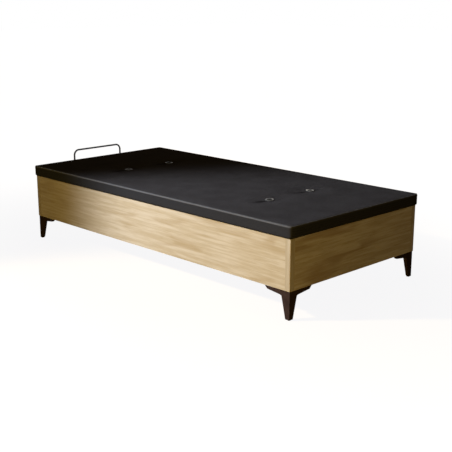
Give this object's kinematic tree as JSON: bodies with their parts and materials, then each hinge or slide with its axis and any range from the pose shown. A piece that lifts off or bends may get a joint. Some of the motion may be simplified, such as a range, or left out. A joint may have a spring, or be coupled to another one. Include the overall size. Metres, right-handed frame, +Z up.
{
  "type": "storage bed base",
  "caption": "Single storage bed base on corner legs: oak-effect box, end-lift upholstered lid with air vents and a metal mattress bar at the foot.",
  "frame": {"origin": "on the floor under the middle of the whole outline, which is 16.5 mm from the box's middle towards the foot because the mattress bar stands out there", "axes": "+X across the bed, +Y along it to the head end where the lid pivots, +Z up"},
  "size_m": [0.916, 1.949, 0.468],
  "materials": {
    "oak_veneer": "light oak veneer, satin",
    "oak_lipping": "light oak, satin",
    "pine": "plain planed",
    "hardboard": "plain",
    "zinc_fixings": "zinc plated",
    "felt": "pressed felt",
    "leg_brown": "moulded, dark brown, satin",
    "zinc_pins": "zinc plated",
    "guide_nylon": "plain",
    "black_plate_steel": "black powder coat",
    "frame_steel": "black powder coat",
    "board": "raw board",
    "foam": "open foam",
    "mesh_cloth": "black spacer mesh cloth",
    "black_rubber": "moulded",
    "vent_black": "glossy",
    "vent_mesh": "fine mesh",
    "bar_steel": "polished",
    "sleeve_black": "plain",
    "bush_bronze": "sintered",
    "gas_black": "black",
    "gas_chrome": "ground and plated"
  },
  "bodies": {
    "box": {"side_panel_right": "oak_veneer", "side_panel_left": "oak_veneer", "head_panel": "oak_veneer", "foot_panel": "oak_veneer", "corner_post_head_right": "oak_lipping", "corner_post_head_left": "oak_lipping", "corner_post_foot_right": "oak_lipping", "corner_post_foot_left": "oak_lipping", "corner_dowels": "pine", "side_batten_right": "pine", "side_batten_left": "pine", "head_batten": "pine", "foot_batten": "pine", "cross_rail": "pine", "bottom_board_head": "hardboard", "bottom_board_foot": "hardboard", "leg_head_right": "leg_brown", "leg_head_left": "leg_brown", "leg_foot_right": "leg_brown", "leg_foot_left": "leg_brown", "leg_screws": "zinc_fixings", "leg_glides": "felt", "guide_plate_right": "black_plate_steel", "guide_plate_left": "black_plate_steel", "guide_plate_screws": "zinc_fixings", "arm_pivot_pins": "zinc_pins", "gas_base_studs": "zinc_pins"},
    "lid": {"frame_rail_right": "frame_steel", "frame_rail_left": "frame_steel", "frame_rail_head": "frame_steel", "frame_rail_foot": "frame_steel", "frame_cross_tubes": "frame_steel", "lid_board": "board", "foam_pad": "foam", "lid_cover": "mesh_cloth", "lid_bumpers": "black_rubber", "vent_rings": "vent_black", "vent_grilles": "vent_mesh", "vent_back_nuts": "vent_black", "mattress_bar": "bar_steel", "bar_sleeves": "sleeve_black", "bar_washers": "zinc_fixings", "bar_nuts": "zinc_fixings", "lid_bracket_right": "black_plate_steel", "lid_bracket_left": "black_plate_steel", "lid_bracket_bolts": "zinc_fixings", "lid_pivot_pins": "zinc_pins", "guide_pins": "guide_nylon"},
    "right_arm": {"arm_right": "black_plate_steel", "arm_bushes_right": "bush_bronze", "gas_arm_stud_right": "zinc_pins"},
    "right_gas_cylinder": {"gas_cylinder_right": "gas_black"},
    "right_gas_rod": {"gas_rod_right": "gas_chrome"},
    "left_arm": {"arm_left": "black_plate_steel", "arm_bushes_left": "bush_bronze", "gas_arm_stud_left": "zinc_pins"},
    "left_gas_cylinder": {"gas_cylinder_left": "gas_black"},
    "left_gas_rod": {"gas_rod_left": "gas_chrome"}
  },
  "joints": [
    {"name": "arm_swing", "type": "hinge", "parent": "box", "child": "right_arm", "pos_m": [0.424, 0.5085, 0.298], "axis": [1, 0, 0], "range_deg": [0, 60]},
    {"name": "lid_tilt", "type": "hinge", "parent": "right_arm", "child": "lid", "pos_m": [0.424, 0.7505, 0.26], "axis": [-1, 0, 0], "range_deg": [0, 102]},
    {"name": "left_arm_swing", "type": "hinge", "parent": "box", "child": "left_arm", "pos_m": [-0.424, 0.5085, 0.298], "axis": [1, 0, 0], "range_deg": [0, 60]},
    {"name": "right_gas_cylinder_swing", "type": "hinge", "parent": "box", "child": "right_gas_cylinder", "pos_m": [0.409, 0.59878, 0.191], "axis": [1, 0, 0], "range_deg": [0, 30]},
    {"name": "right_gas_rod_swing", "type": "hinge", "parent": "right_arm", "child": "right_gas_rod", "pos_m": [0.409, 0.64373, 0.33424], "axis": [-1, 0, 0], "range_deg": [0, 30]},
    {"name": "left_gas_cylinder_swing", "type": "hinge", "parent": "box", "child": "left_gas_cylinder", "pos_m": [-0.409, 0.59878, 0.191], "axis": [1, 0, 0], "range_deg": [0, 30]},
    {"name": "left_gas_rod_swing", "type": "hinge", "parent": "left_arm", "child": "left_gas_rod", "pos_m": [-0.409, 0.64373, 0.33424], "axis": [-1, 0, 0], "range_deg": [0, 30]}
  ],
  "couplings": [
    {"joint": "lid_tilt", "follows": "arm_swing", "ratio": 1.7},
    {"joint": "left_arm_swing", "follows": "arm_swing", "ratio": 1},
    {"joint": "right_gas_cylinder_swing", "follows": "arm_swing", "ratio": 0.5},
    {"joint": "right_gas_rod_swing", "follows": "arm_swing", "ratio": 0.5},
    {"joint": "left_gas_cylinder_swing", "follows": "arm_swing", "ratio": 0.5},
    {"joint": "left_gas_rod_swing", "follows": "arm_swing", "ratio": 0.5}
  ]
}
